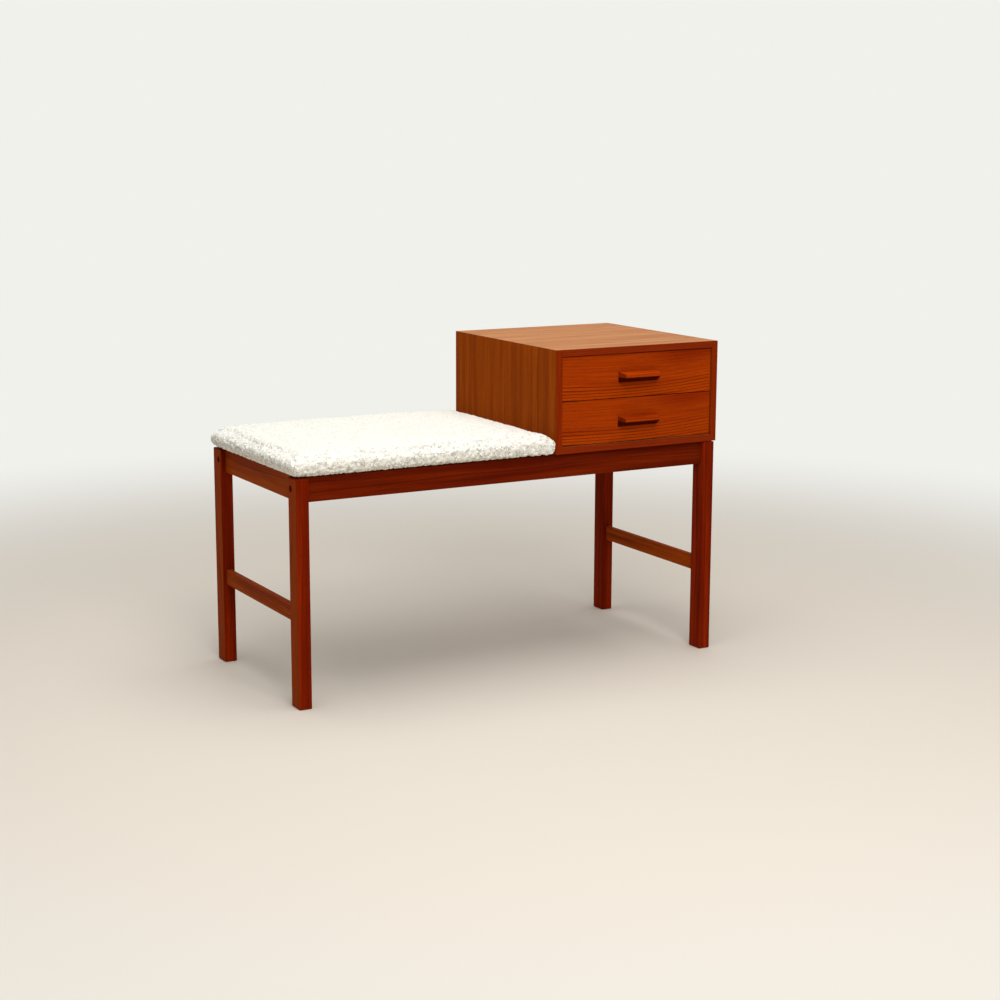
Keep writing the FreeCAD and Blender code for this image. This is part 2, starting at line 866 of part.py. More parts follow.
def make_bench():
    """Every piece of the bench by name."""
    batten_screws, batten_holes = screw_set(batten_screw, batten_screw_heads((-1, 1)), -Z)
    pad_screws, pad_holes = screw_set(pad_screw, underside_screw_heads(seat_batten_centres), Z)
    case_screws, case_holes = screw_set(case_screw, underside_screw_heads(cabinet_batten_centres), Z)
    back_screws, back_holes = screw_set(back_screw, back_screw_heads(), -Y)
    left_screws, left_holes = screw_set(runner_screw, runner_screw_heads(-1), -X)
    right_screws, right_holes = screw_set(runner_screw, runner_screw_heads(1), X)

    pieces = make_frame()
    pieces.update(make_battens(batten_holes + pad_holes + case_holes))
    pieces.update(make_pad(pad_holes))
    pieces.update(make_case(case_holes, back_holes, left_holes + right_holes))
    pieces["batten_screws"] = Part.Compound(batten_screws)
    pieces["seat_screws"] = Part.Compound(pad_screws)
    pieces["case_screws"] = Part.Compound(case_screws)
    pieces["back_screws"] = Part.Compound(back_screws)
    pieces["runner_screws"] = Part.Compound(left_screws + right_screws)
    pieces["case_tongues"] = Part.Compound(case_tongues())

    for level, drawer_name in enumerate(("lower", "upper")):
        for side, side_name in ((-1, "left"), (1, "right")):
            runner = make_runner(side, level)
            pieces[f"{drawer_name}_{side_name}_runner"] = cut_all(runner, left_holes + right_holes)
        for name, solid in make_drawer().items():
            solid.translate(Z * drawer_pitch * level)
            pieces[f"{drawer_name}_drawer_{name}"] = solid
    return pieces


os.makedirs("parts", exist_ok=True)
for piece_name, piece in make_bench().items():
    piece.translate(-origin)
    piece.exportStep(f"parts/{piece_name}.step")
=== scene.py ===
import json
import math

import bmesh
import bpy
import numpy as np
from bpy.props import FloatProperty, FloatVectorProperty, IntProperty, PointerProperty
from mathutils import Matrix, Vector, noise

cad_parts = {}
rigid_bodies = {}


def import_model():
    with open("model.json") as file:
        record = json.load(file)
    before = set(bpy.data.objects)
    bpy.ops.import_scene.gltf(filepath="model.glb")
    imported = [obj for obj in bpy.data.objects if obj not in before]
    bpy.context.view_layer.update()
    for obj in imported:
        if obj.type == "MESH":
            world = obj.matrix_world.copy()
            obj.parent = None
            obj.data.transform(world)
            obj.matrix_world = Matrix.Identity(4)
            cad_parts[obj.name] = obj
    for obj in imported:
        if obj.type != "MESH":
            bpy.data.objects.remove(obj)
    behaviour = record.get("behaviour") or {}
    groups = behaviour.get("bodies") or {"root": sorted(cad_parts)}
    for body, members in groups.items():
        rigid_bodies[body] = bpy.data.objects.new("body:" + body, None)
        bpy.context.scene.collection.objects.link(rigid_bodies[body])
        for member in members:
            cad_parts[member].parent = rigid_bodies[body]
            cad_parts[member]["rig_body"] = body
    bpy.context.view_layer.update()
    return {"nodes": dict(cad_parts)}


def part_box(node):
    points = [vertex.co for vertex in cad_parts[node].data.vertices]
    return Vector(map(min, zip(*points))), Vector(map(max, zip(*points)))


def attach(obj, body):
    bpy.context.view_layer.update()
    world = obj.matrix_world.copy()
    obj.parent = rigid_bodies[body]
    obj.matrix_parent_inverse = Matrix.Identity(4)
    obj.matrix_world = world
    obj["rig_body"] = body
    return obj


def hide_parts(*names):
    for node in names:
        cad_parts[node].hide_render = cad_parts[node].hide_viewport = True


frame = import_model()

bl_info = {
    "name": "Telephone Bench Finish",
    "version": (1, 0, 0),
    "blender": (4, 5, 0),
    "location": "View3D > Sidebar > Bench",
    "description": "Finishes a teak telephone bench with a boucle seat, and sets it on a studio floor",
    "category": "Object",
}

MM = 0.001


def linear(hex_colour):
    """Linear red, green and blue of an sRGB colour written as a hex value."""
    parts = [int(hex_colour[start:start + 2], 16) / 255 for start in (1, 3, 5)]
    return tuple(part / 12.92 if part <= 0.04045 else ((part + 0.055) / 1.055) ** 2.4 for part in parts)


def colour_property(label, description, hex_colour):
    """A colour that the user may change, with its default written as a hex value."""
    return FloatVectorProperty(
        name=label, description=description, default=linear(hex_colour),
        size=3, min=0, max=1, subtype="COLOR",
    )


def length_property(label, description, millimetres):
    """A length that the user may change, with its default in millimetres."""
    return FloatProperty(
        name=label, description=description, default=millimetres * MM,
        min=0, unit="LENGTH", subtype="DISTANCE",
    )


def share_property(label, description, share):
    """A share from 0 to 1 that the user may change."""
    return FloatProperty(name=label, description=description, default=share, min=0, max=1, subtype="FACTOR")


def angle_property(label, description, degrees):
    """An angle that the user may change, with its default in degrees."""
    return FloatProperty(
        name=label, description=description, default=math.radians(degrees),
        unit="ROTATION", subtype="ANGLE",
    )


def place_property(label, description, place):
    """A place that the user may change, with its default in metres."""
    return FloatVectorProperty(
        name=label, description=description, default=place, size=3, unit="LENGTH", subtype="XYZ",
    )


def power_property(label, description, watts):
    """A lamp's power that the user may change."""
    return FloatProperty(name=label, description=description, default=watts, min=0, unit="POWER")


# Lighter and darker growth of each wood, and what is made of it
WOODS = (
    ("leg", "the legs", "#8F2604", "#6E1803"),
    # painted light: the end rails' and stretchers' tones are browner for the warm light on the outer faces
    # they show
    ("end", "the end rails and stretchers", "#A6480C", "#883208"),
    ("rail", "the long rails", "#752104", "#591303"),
    ("side", "the case sides' veneer", "#9F4706", "#873804"),
    # painted reflection: the case top's tones are lighter and tanner than the sides' same teak, for the
    # light reflected off the top
    ("top", "the case top's veneer", "#C0804A", "#A66838"),
    ("front", "the drawer fronts' veneer", "#B24004", "#8A2703"),
    ("beech", "the drawers' sides, battens and runners", "#D9B48A", "#B98A5C"),
    ("birch", "the plywood boards", "#DCC093", "#C49F6B"),
)


class WoodSettings(bpy.types.PropertyGroup):
    """Colours and grain of the bench's woods; the tones of growth are added below it."""
    # painted light: the legs' outer faces are painted browner for the warm light that falls on them
    painted_side_light: colour_property("Leg sides", "Browner teak on the legs' outer faces", "#913706")
    edge_colour: colour_property("Edge band", "Solid teak band on the case's front edges", "#832704")
    # painted shade: the pulls' lower part is painted dark for the shadow on their underside
    pull_shade_colour: colour_property("Handled teak", "Lower part of the pulls, dark from fingers", "#440A02")
    line_colour: colour_property("Growth lines", "Growth rings' dark lines, and the pores", "#3C0A02")
    ring_spacing: length_property("Ring spacing", "Distance between growth lines of the teak", 5.0)
    leaf_spacing: length_property("Front ring spacing", "Distance between the fronts' growth lines", 6.4)
    # real pores are near 0.3 mm wide and fibres finer still, so both are drawn coarser to show
    pore_width: length_property("Pore width", "Width that the teak's pores are drawn at", 0.9)
    fibre_width: length_property("Fibre width", "Width that the teak's fibres are drawn at", 1.6)
    edge_band: length_property("Edge band thickness", "Thickness of the band on the front edges", 1.6)
    sheen: share_property("Sheen", "Reflection of the oiled teak", 0.02)
    top_sheen: share_property("Top sheen", "Reflection of the case's top", 0.08)


for wood, made, light_tone, dark_tone in WOODS:
    for tone, word, hex_tone in (("light", "Lighter", light_tone), ("dark", "Darker", dark_tone)):
        WoodSettings.__annotations__[f"{wood}_{tone}"] = colour_property(
            f"{wood.title()} {tone}", f"{word} growth of {made}", hex_tone,
        )


def growth(settings, wood):
    """A wood's lighter and darker growth."""
    return getattr(settings, f"{wood}_light"), getattr(settings, f"{wood}_dark")


class SeatSettings(bpy.types.PropertyGroup):
    """Shape and cloth of the seat."""
    wool_top: colour_property("Wool", "Tops of the boucle's loops", "#F2EFE4")
    # painted shade: the grey between the loops
    wool_shade: colour_property("Wool between loops", "Boucle's ground between the loops", "#ADA89D")
    lining_colour: colour_property("Lining", "Cotton lining under the seat", "#23211F")
    # real loops are near 4 mm wide, so both spacings are drawn coarser to show
    loop_spacing: length_property("Loop spacing", "Distance between the boucle's loops", 6.0)
    loop_height: length_property("Loop height", "How far the loops stand out of their ground", 3.0)
    pressed: share_property("Pressed", "How much flatter the pile on top is", 0.45)
    loop_seed: IntProperty(name="Loop seed", description="Chooses how the loops lie", default=5, min=1)
    curl_spacing: length_property("Curl spacing", "Distance between the thin shades on the loops", 6.5)
    cell: length_property("Cloth cell", "Side of the simulated cloth's cells", 7.4)
    top_reach: length_property("Top rounding", "How far in from the sides the top is rounded", 30.0)
    top_drop: length_property("Top drop", "How far down the sides the top's rounding goes", 13.0)
    foot_reach: length_property("Foot rounding", "How far in the sides turn under", 17.0)
    foot_rise: length_property("Foot rise", "How far up the sides the turn under goes", 19.4)
    crown: length_property("Crown", "Rise of the seat's top towards its middle", 7.0)
    tuck: length_property("Tuck", "Width of the cover's underside that is kept", 36.0)
    swell_cap: length_property("Most swelling", "How far the simulation may move the cloth", 5.0)
    fullness: length_property("Fullness", "How far the cover stands out past its board and foam", 3.0)
    hang: length_property("Hanging edge", "How far the cover's front edge hangs beside the cabinet", 9.0)
    pressure: FloatProperty(name="Pressure", description="Pressure of the foam", default=4.0, min=0)
    frames: IntProperty(name="Frames", description="Length of the cloth simulation", default=20, min=1)


class MetalSettings(bpy.types.PropertyGroup):
    """Finish of the fasteners."""
    zinc: colour_property("Zinc", "Bright zinc on the wood screws", "#BDBBB4")
    black: colour_property("Black oxide", "Black oxide on the connecting bolts", "#2C2825")
    zinc_roughness: share_property("Zinc roughness", "How dull the zinc is", 0.34)
    black_roughness: share_property("Oxide roughness", "How dull the black oxide is", 0.4)
    slot_width: length_property("Slot width", "Width of the slot in a screw's head", 1.0)
    slot_depth: length_property("Slot depth", "Depth of the slot in a screw's head", 1.1)
    sides: IntProperty(name="Sides", description="Sides of a round that shows", default=28, min=8)


class StageSettings(bpy.types.PropertyGroup):
    """Floor, lights and camera."""
    floor_colour: colour_property("Floor", "Plain floor under the bench", "#DBD2C5")
    backdrop_colour: colour_property("Backdrop", "What is seen behind the bench", "#F1F1EC")
    fade_start: length_property("Fade start", "Distance at which the floor starts to fade", 900)
    fade_end: length_property("Fade end", "Distance at which only the backdrop is seen", 2600)
    camera_place: place_property("Camera", "Place of the camera", (-1.69685, -3.1442, 0.9919))
    camera_heading: angle_property("Heading", "Turn of the view from the rear towards the cabinet", 29.333)
    camera_dip: angle_property("Dip", "How far the view looks down", 10.919)
    camera_roll: angle_property("Roll", "Turn of the view about its own line", 0.167)
    lens: FloatProperty(name="Lens", description="Focal length in millimetres", default=68.72, min=1)
    lit_place: place_property("Lit place", "Where both lamps point", (0, 0, 0.4))
    key_place: place_property("Key place", "Place of the lamp overhead", (-0.1, -0.3, 3.0))
    key_size: length_property("Key size", "Side of the lamp overhead", 3200)
    key_watts: power_property("Key light", "Power of the lamp overhead", 71)
    fill_place: place_property("Fill place", "Place of the lamp in front", (-0.6, -2.4, 2.3))
    fill_size: length_property("Fill size", "Side of the lamp in front", 1400)
    fill_watts: power_property("Fill light", "Power of the lamp in front", 45)
    room_strength: FloatProperty(name="Room", description="Light from all round", default=0.27, min=0)


# Material building

SMOOTH = {"interpolation_type": "SMOOTHSTEP"}


def add(tree, kind, output, inputs=None, **settings):
    """Adds a node with its settings, gives each input its value or link, and returns one of its outputs."""
    node = tree.nodes.new("ShaderNode" + kind)
    for name, value in settings.items():
        setattr(node, name, value)
    for name, value in (inputs or {}).items():
        if isinstance(value, bpy.types.NodeSocket):
            tree.links.new(value, node.inputs[name])
        else:
            node.inputs[name].default_value = value
    return None if output is None else node.outputs[output]


def rgba(colour):
    """A property's colour with full opacity."""
    return (*colour, 1.0)


def start_material(name):
    """An empty material with its output and its shader."""
    material = bpy.data.materials.new(name)
    material.use_nodes = True
    tree = material.node_tree
    tree.nodes.clear()
    shader = add(tree, "BsdfPrincipled", 0).node
    add(tree, "OutputMaterial", None, {"Surface": shader.outputs[0]})
    return material, tree, shader


def finish_surface(tree, shader, colour, roughness, height, strength, distance):
    """Links a surface's colour and roughness to its shader, and its height through a bump."""
    normal = add(tree, "Bump", 0, {"Height": height, "Strength": strength, "Distance": distance})
    tree.links.new(colour, shader.inputs["Base Color"])
    tree.links.new(roughness, shader.inputs["Roughness"])
    tree.links.new(normal, shader.inputs["Normal"])


GRAIN_TURN = {"X": (0, 0, 0), "Y": (0, 0, -math.pi / 2), "Z": (0, math.pi / 2, 0)}
GRAIN_AXIS = {"X": (1, 0, 0), "Y": (0, 1, 0), "Z": (0, 0, 1)}
# growth rings are cut aslant, so that lines show on every face along the grain
RING_DIRECTION = (0, 0.57, 0.82)


def grain_space(tree, grain, wander=4 * MM):
    """Places in the wood with the grain along X, a little wavy, in metres."""
    place = add(tree, "TexCoord", "Object")
    turned = add(tree, "Mapping", 0, {"Vector": place, "Rotation": GRAIN_TURN[grain]})
    wave = 220 * MM
    drift = add(tree, "TexNoise", "Color", {"Vector": turned, "Scale": 1 / wave, "Detail": 1.0})
    sway = (0, wander, wander)
    return add(tree, "VectorMath", 0, {0: drift, 1: sway, 2: turned}, operation="MULTIPLY_ADD")


def drawn_out(tree, place, share, width, detail=2.0):
    """Noise whose cells are some width across the grain, and longer along it."""
    slim = add(tree, "VectorMath", 0, {0: place, 1: (share, 1, 1)}, operation="MULTIPLY")
    return add(tree, "TexNoise", 0, {"Vector": slim, "Scale": 1 / width, "Detail": detail})


def growth_lines(tree, place, level, spacing, weakest, strongest, stray=1.5):
    """Growth lines at uneven distances: each darkens slowly, ends sharply and has its own strength.

    A line may stray from its level by some ring spacings.
    """
    drift = drawn_out(tree, place, 0.06, 6 * spacing, 1.0)
    shift = add(tree, "MapRange", 0, {0: drift, 1: 0.2, 2: 0.8, 3: -stray, 4: stray})
    count = add(tree, "Math", 0, {0: level, 1: 1 / spacing, 2: shift}, operation="MULTIPLY_ADD")
    share = add(tree, "Math", 0, {0: count}, operation="FRACT")
    ring = add(tree, "Math", 0, {0: count}, operation="FLOOR")
    own = add(tree, "TexWhiteNoise", "Value", {"W": ring}, noise_dimensions="1D")
    # by shares of a ring's width, where its line starts to darken, is darkest, starts to fade and ends
    rise = add(tree, "MapRange", 0, {0: share, 1: 0.45, 2: 0.92}, **SMOOTH)
    drop = add(tree, "MapRange", 0, {0: share, 1: 0.94, 2: 1.0, 3: 1.0, 4: 0.0})
    depth = add(tree, "MapRange", 0, {0: own, 1: 0.1, 2: 0.9, 3: weakest, 4: strongest})
    line = add(tree, "Math", 0, {0: rise, 1: drop}, operation="MULTIPLY")
    return add(tree, "Math", 0, {0: line, 1: depth}, operation="MULTIPLY")


def end_grain(tree, grain, most):
    """A share up to the most on the faces that the grain runs out of, and nothing on the others."""
    normal = add(tree, "TexCoord", "Normal")
    along = add(tree, "VectorMath", "Value", {0: normal, 1: GRAIN_AXIS[grain]}, operation="DOT_PRODUCT")
    facing = add(tree, "Math", 0, {0: along}, operation="ABSOLUTE")
    return add(tree, "MapRange", 0, {0: facing, 1: 0.6, 2: 0.95, 4: most}, **SMOOTH)


def oiled_teak(name, settings, grain, colours, sheen, strength=0.6, leaf=None, mask=None, masked=None):
    """Teak, planed or sliced, and oiled: a satin face with long dark growth lines and short open pores.

    A leaf gives a veneer its own run of lines and darker parts, and a mask covers a part in another colour.
    """
    material, tree, shader = start_material(name)
    place = grain_space(tree, grain)
    level = add(tree, "VectorMath", "Value", {0: place, 1: RING_DIRECTION}, operation="DOT_PRODUCT")
    spacing = settings.ring_spacing
    weakest = 0.15 * strength
    strongest = strength
    stray = 1.5
    patch = drawn_out(tree, place, 0.05, 3 * spacing, 3.0)
    tone = add(tree, "MapRange", 0, {0: patch, 1: 0.3, 2: 0.7}, **SMOOTH)
    bold = None
    if leaf:
        place, level, bold, deep = leaf(tree, place)
        tone = add(tree, "Math", 0, {0: tone, 1: 0.6}, operation="MULTIPLY")
        tone = add(tree, "Math", 0, {0: tone, 1: deep}, operation="MAXIMUM")
        spacing = settings.leaf_spacing
        weakest = 0.85
        strongest = 1.0
        stray = 0.7
    main = growth_lines(tree, place, level, spacing, weakest, strongest, stray)
    if bold:
        main = add(tree, "Math", 0, {0: main, 1: bold}, operation="MULTIPLY")
    fine = growth_lines(tree, place, level, 0.37 * spacing, 0.08 * strength, 0.5 * strength)
    fibre = drawn_out(tree, place, 0.02, settings.fibre_width, 3.0)
    specks = drawn_out(tree, place, 0.07, settings.pore_width, 1.0)
    pores = add(tree, "MapRange", 0, {0: specks, 1: 0.6, 2: 0.72, 4: 0.3})
    shade = add(tree, "MapRange", 0, {0: fibre, 1: 0.25, 2: 0.75, 3: 0.82, 4: 1.18})
    roughness = add(tree, "MapRange", 0, {0: fibre, 1: 0.2, 2: 0.8, 3: 0.42, 4: 0.54})
    dark = rgba(settings.line_colour)
    colour = add(tree, "Mix", 2, {0: tone, 6: rgba(colours[0]), 7: rgba(colours[1])}, data_type="RGBA")
    if mask:
        colour = add(tree, "Mix", 2, {0: mask(tree), 6: colour, 7: rgba(masked)}, data_type="RGBA")
    marks = add(tree, "Math", 0, {0: main, 1: fine}, operation="MAXIMUM")
    colour = add(tree, "Mix", 2, {0: marks, 6: colour, 7: dark}, data_type="RGBA")
    colour = add(tree, "Mix", 2, {0: pores, 6: colour, 7: dark}, data_type="RGBA")
    colour = add(tree, "VectorMath", 0, {0: colour, 3: shade}, operation="SCALE")
    colour = add(tree, "Mix", 2, {0: end_grain(tree, grain, 0.5), 6: colour, 7: dark}, data_type="RGBA")
    relief = add(tree, "Math", 0, {0: fibre, 1: pores}, operation="SUBTRACT")
    finish_surface(tree, shader, colour, roughness, relief, 0.3, 0.1 * MM)
    # oil sinks into the open pores, so the face bends light less than a varnished one
    shader.inputs["IOR"].default_value = 1.3
    shader.inputs["Specular IOR Level"].default_value = sheen
    return material


def planed_beech(name, settings, grain):
    """Beech, planed and left bare: a pale matt face with short darker flecks along the grain."""
    material, tree, shader = start_material(name)
    place = grain_space(tree, grain, wander=2 * MM)
    patch = drawn_out(tree, place, 0.06, 14 * MM, 2.0)
    soft = add(tree, "MapRange", 0, {0: patch, 1: 0.3, 2: 0.7, 4: 0.55}, **SMOOTH)
    specks = drawn_out(tree, place, 0.25, 1.1 * MM, 1.0)
    flecks = add(tree, "MapRange", 0, {0: specks, 1: 0.6, 2: 0.75, 4: 0.8})
    light, dark = [rgba(tone) for tone in growth(settings, "beech")]
    marks = add(tree, "Math", 0, {0: soft, 1: flecks}, operation="MAXIMUM")
    colour = add(tree, "Mix", 2, {0: marks, 6: light, 7: dark}, data_type="RGBA")
    colour = add(tree, "Mix", 2, {0: end_grain(tree, grain, 0.5), 6: colour, 7: dark}, data_type="RGBA")
    roughness = add(tree, "MapRange", 0, {0: flecks, 3: 0.55, 4: 0.7})
    finish_surface(tree, shader, colour, roughness, flecks, 0.2, 0.1 * MM)
    shader.inputs["IOR"].default_value = 1.5
    return material


def sanded_birch_plywood(name, settings, grain):
    """Birch plywood, sanded: a pale face with wide soft figure and fine silky fibres."""
    material, tree, shader = start_material(name)
    place = grain_space(tree, grain, wander=20 * MM)
    waves = drawn_out(tree, place, 0.12, 22 * MM, 3.0)
    figure = add(tree, "MapRange", 0, {0: waves, 1: 0.35, 2: 0.7}, **SMOOTH)
    fibre = add(tree, "MapRange", 0, {0: drawn_out(tree, place, 0.03, 1.4 * MM), 1: 0.3, 2: 0.7, 4: 0.3})
    marks = add(tree, "Math", 0, {0: figure, 1: fibre}, operation="MAXIMUM")
    light, dark = [rgba(tone) for tone in growth(settings, "birch")]
    colour = add(tree, "Mix", 2, {0: marks, 6: light, 7: dark}, data_type="RGBA")
    roughness = add(tree, "MapRange", 0, {0: figure, 3: 0.55, 4: 0.65})
    finish_surface(tree, shader, colour, roughness, fibre, 0.2, 0.1 * MM)
    shader.inputs["IOR"].default_value = 1.5
    return material


def plated_steel(name, colour, roughness):
    """Steel, turned and plated or blackened: metal whose gloss is broken by fine turning marks."""
    material, tree, shader = start_material(name)
    place = add(tree, "TexCoord", "Object")
    # turning marks are near 0.1 mm apart, too fine to show, so they are drawn coarser
    mark_spacing = 0.8 * MM
    stain_size = 6 * MM
    marks = add(tree, "TexNoise", 0, {"Vector": place, "Scale": 1 / mark_spacing})
    stain = add(tree, "TexNoise", 0, {"Vector": place, "Scale": 1 / stain_size})
    shade = add(tree, "MapRange", 0, {0: stain, 1: 0.3, 2: 0.7, 3: 0.75, 4: 1.05})
    toned = add(tree, "VectorMath", 0, {0: tuple(colour), 3: shade}, operation="SCALE")
    uneven = add(tree, "MapRange", 0, {0: marks, 1: 0.3, 2: 0.7, 3: roughness - 0.08, 4: roughness + 0.12})
    finish_surface(tree, shader, toned, uneven, marks, 0.1, 0.05 * MM)
    shader.inputs["Metallic"].default_value = 1.0
    return material


def boucle_wool(name, settings):
    """Boucle of looped wool: matt white curls, with painted shade in grey between them and where they stand
    low.
    """
    material, tree, shader = start_material(name)
    place = add(tree, "TexCoord", "Object")
    pile = add(tree, "Attribute", "Fac", attribute_name="pile")
    bend = 5 * MM
    warp = add(tree, "TexNoise", "Color", {"Vector": place, "Scale": 1 / bend, "Detail": 1.0})
    curled = add(tree, "VectorMath", 0, {0: warp, 1: (bend,) * 3, 2: place}, operation="MULTIPLY_ADD")
    curls = add(
        tree, "TexVoronoi", "Distance", {"Vector": curled, "Scale": 1 / settings.curl_spacing},
        feature="DISTANCE_TO_EDGE",
    )
    patch_size = 9 * MM
    patch = add(tree, "TexNoise", 0, {"Vector": place, "Scale": 1 / patch_size, "Detail": 1.0})
    broken = add(tree, "MapRange", 0, {0: patch, 1: 0.4, 2: 0.6}, **SMOOTH)
    between = add(tree, "MapRange", 0, {0: curls, 1: 0.02, 2: 0.11, 3: 1.0, 4: 0.0})
    crevice = add(tree, "Math", 0, {0: between, 1: broken}, operation="MULTIPLY")
    # painted shade where the loops stand low
    hollow = add(tree, "MapRange", 0, {0: pile, 1: 0.0, 2: 0.5, 3: 0.35, 4: 0.0})
    painted_loop_shade = add(tree, "Math", 0, {0: hollow, 1: crevice}, operation="MAXIMUM")
    upward = add(tree, "SeparateXYZ", "Z", {0: add(tree, "TexCoord", "Normal")})
    # painted shade: the grey is weaker on the top, where the light from above falls, than on the sides
    pressed = add(tree, "MapRange", 0, {0: upward, 1: 0.7, 2: 0.97, 3: 1.0, 4: 0.4})
    shade = add(tree, "Math", 0, {0: painted_loop_shade, 1: pressed}, operation="MULTIPLY")
    top = rgba(settings.wool_top)
    colour = add(tree, "Mix", 2, {0: shade, 6: top, 7: rgba(settings.wool_shade)}, data_type="RGBA")
    roughness = add(tree, "MapRange", 0, {0: shade, 3: 0.85, 4: 1.0})
    finish_surface(tree, shader, colour, roughness, curls, 0.9, 2.5 * MM)
    shader.inputs["Sheen Weight"].default_value = 0.2
    shader.inputs["Sheen Roughness"].default_value = 0.6
    shader.inputs["Specular IOR Level"].default_value = 0.2
    return material


def woven_cotton(name, settings):
    """Black cotton lining, plain woven: dull cloth with a fine square weave."""
    material, tree, shader = start_material(name)
    place = add(tree, "TexCoord", "Object")
    # threads are near 0.3 mm apart, too fine to show, so they are drawn coarser
    thread = 2.4 * MM
    scale = math.pi / (10 * thread)
    weft = add(tree, "TexWave", "Fac", {"Vector": place, "Scale": scale}, bands_direction="X")
    warp = add(tree, "TexWave", "Fac", {"Vector": place, "Scale": scale}, bands_direction="Y")
    cloth = add(tree, "Math", 0, {0: weft, 1: warp}, operation="MULTIPLY")
    light = rgba(settings.lining_colour)
    dark = rgba([0.6 * part for part in settings.lining_colour])
    colour = add(tree, "Mix", 2, {0: cloth, 6: dark, 7: light}, data_type="RGBA")
    roughness = add(tree, "MapRange", 0, {0: cloth, 3: 0.95, 4: 0.8})
    finish_surface(tree, shader, colour, roughness, cloth, 0.3, 0.2 * MM)
    return material


# Mesh building

def finish_nodes(names, material):
    """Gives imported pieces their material."""
    for name in names:
        piece = frame["nodes"][name]
        piece.data.materials.clear()
        piece.data.materials.append(material)


def new_piece(name, mesh, material, stands_for):
    """A shaped piece that stands for packed ones and moves with their body."""
    mesh.name = name
    mesh.materials.clear()
    mesh.materials.append(material)
    piece = bpy.data.objects.new(name, mesh)
    bpy.context.scene.collection.objects.link(piece)
    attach(piece, frame["nodes"][stands_for[0]]["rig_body"])
    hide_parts(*stands_for)
    return piece


def mesh_of(vertices, faces):
    """A mesh from its points and faces."""
    mesh = bpy.data.meshes.new("mesh")
    mesh.from_pydata([tuple(point) for point in vertices], [], faces)
    mesh.update()
    return mesh


def applied(piece):
    """The piece's mesh with its modifiers applied."""
    graph = bpy.context.evaluated_depsgraph_get()
    return bpy.data.meshes.new_from_object(piece.evaluated_get(graph))


def values_of(mesh, kind):
    """A mesh's points, or the directions that they face, as an array."""
    flat = np.zeros(len(mesh.vertices) * 3)
    mesh.vertices.foreach_get(kind, flat)
    return flat.reshape(-1, 3)


def set_points(mesh, points):
    """Moves a mesh's points."""
    mesh.vertices.foreach_set("co", points.ravel())
    mesh.update()


def box_cells(low, high, cell):
    """Points and square faces all over a box, in cells of about one size."""
    low = np.array(low)
    size = np.array(high) - low
    count = np.maximum(np.round(size / cell).astype(int), 1)
    numbers = {}
    faces = []

    def number(place):
        return numbers.setdefault(tuple(place), len(numbers))

    for axis in range(3):
        first, second = (axis + 1) % 3, (axis + 2) % 3
        for side in (0, 1):
            for one in range(count[first]):
                for two in range(count[second]):
                    ring = []
                    for step in ((0, 0), (1, 0), (1, 1), (0, 1)):
                        place = [0, 0, 0]
                        place[axis] = side * count[axis]
                        place[first] = one + step[0]
                        place[second] = two + step[1]
                        ring.append(number(place))
                    faces.append(ring if side else ring[::-1])
    points = low + np.array(list(numbers)) / count * size
    return points, faces


# Seat

def pad_points(points, low, high, settings):
    """Points of a box moved onto the seat's rounded and crowned form."""
    low = np.array(low)
    high = np.array(high)
    middle = (low + high) / 2
    side_height = high[2] - low[2] - settings.foot_rise
    share = np.clip((points[:, 2] - low[2] - settings.foot_rise) / side_height, 0, 1)
    reach = settings.foot_reach + (settings.top_reach - settings.foot_reach) * share ** 2
    # the pad is fuller where it presses against the cabinet
    towards_case = np.clip((points[:, 0] - middle[0]) / (high[0] - middle[0]), 0, 1)
    reach = reach * (1 - 0.45 * towards_case ** 4)
    foot = np.full(len(points), settings.foot_rise)
    top = np.full(len(points), settings.top_drop)
    depth = np.where(points[:, 2] > middle[2], top, foot)
    radii = np.stack((reach, reach, depth), axis=1)
    inner_low = low + np.stack((reach, reach, foot), axis=1)
    inner_high = high - np.stack((reach, reach, top), axis=1)
    core = np.clip(points, inner_low, inner_high)
    offset = (points - core) / radii
    length = np.maximum(np.linalg.norm(offset, axis=1), 1e-9)
    moved = core + radii * offset / length[:, None]
    across = np.clip((moved - middle) / ((high - low) / 2), -1, 1)
    rise = settings.crown * (1 - np.abs(across[:, 0]) ** 4) * (1 - np.abs(across[:, 1]) ** 4)
    lift = np.clip((moved[:, 2] - low[2] - settings.foot_rise) / side_height, 0, 1)
    moved[:, 2] += rise * lift ** 2
    return moved


def swell(piece, settings):
    """Lets the cloth swell outward under the foam's pressure, with its underside held, up to a cap."""
    rest = values_of(piece.data, "co")
    underside = rest[:, 2].min() + 1.0 * MM
    held = piece.vertex_groups.new(name="held")
    held.add([index for index, point in enumerate(rest) if point[2] < underside], 1.0, "REPLACE")
    cloth = piece.modifiers.new("swell", "CLOTH")
    cloth.settings.use_pressure = True
    cloth.settings.uniform_pressure_force = settings.pressure
    cloth.settings.vertex_group_mass = "held"
    cloth.settings.effector_weights.gravity = 0
    scene = bpy.context.scene
    for number in range(1, settings.frames + 1):
        scene.frame_set(number)
    swollen = values_of(applied(piece), "co")
    piece.modifiers.clear()
    scene.frame_set(1)
    outward = values_of(piece.data, "normal")
    distance = np.clip(((swollen - rest) * outward).sum(1), 0, settings.swell_cap)
    set_points(piece.data, rest + outward * distance[:, None])


def open_underside(mesh, low, high, margin):
    """Replaces the hidden middle of the underside by one flat face."""
    shell = bmesh.new()
    shell.from_mesh(mesh)
    level = min(vertex.co.z for vertex in shell.verts) + 1.5 * MM

    def inside(face):
        return all(
            vertex.co.z < level
            and low.x + margin < vertex.co.x < high.x - margin
            and low.y + margin < vertex.co.y < high.y - margin
            for vertex in face.verts
        )

    hidden = [face for face in shell.faces if inside(face)]
    bmesh.ops.delete(shell, geom=hidden, context="FACES")
    rim = [edge for edge in shell.edges if edge.is_boundary]
    bmesh.ops.contextual_create(shell, geom=rim)
    shell.to_mesh(mesh)
    shell.free()


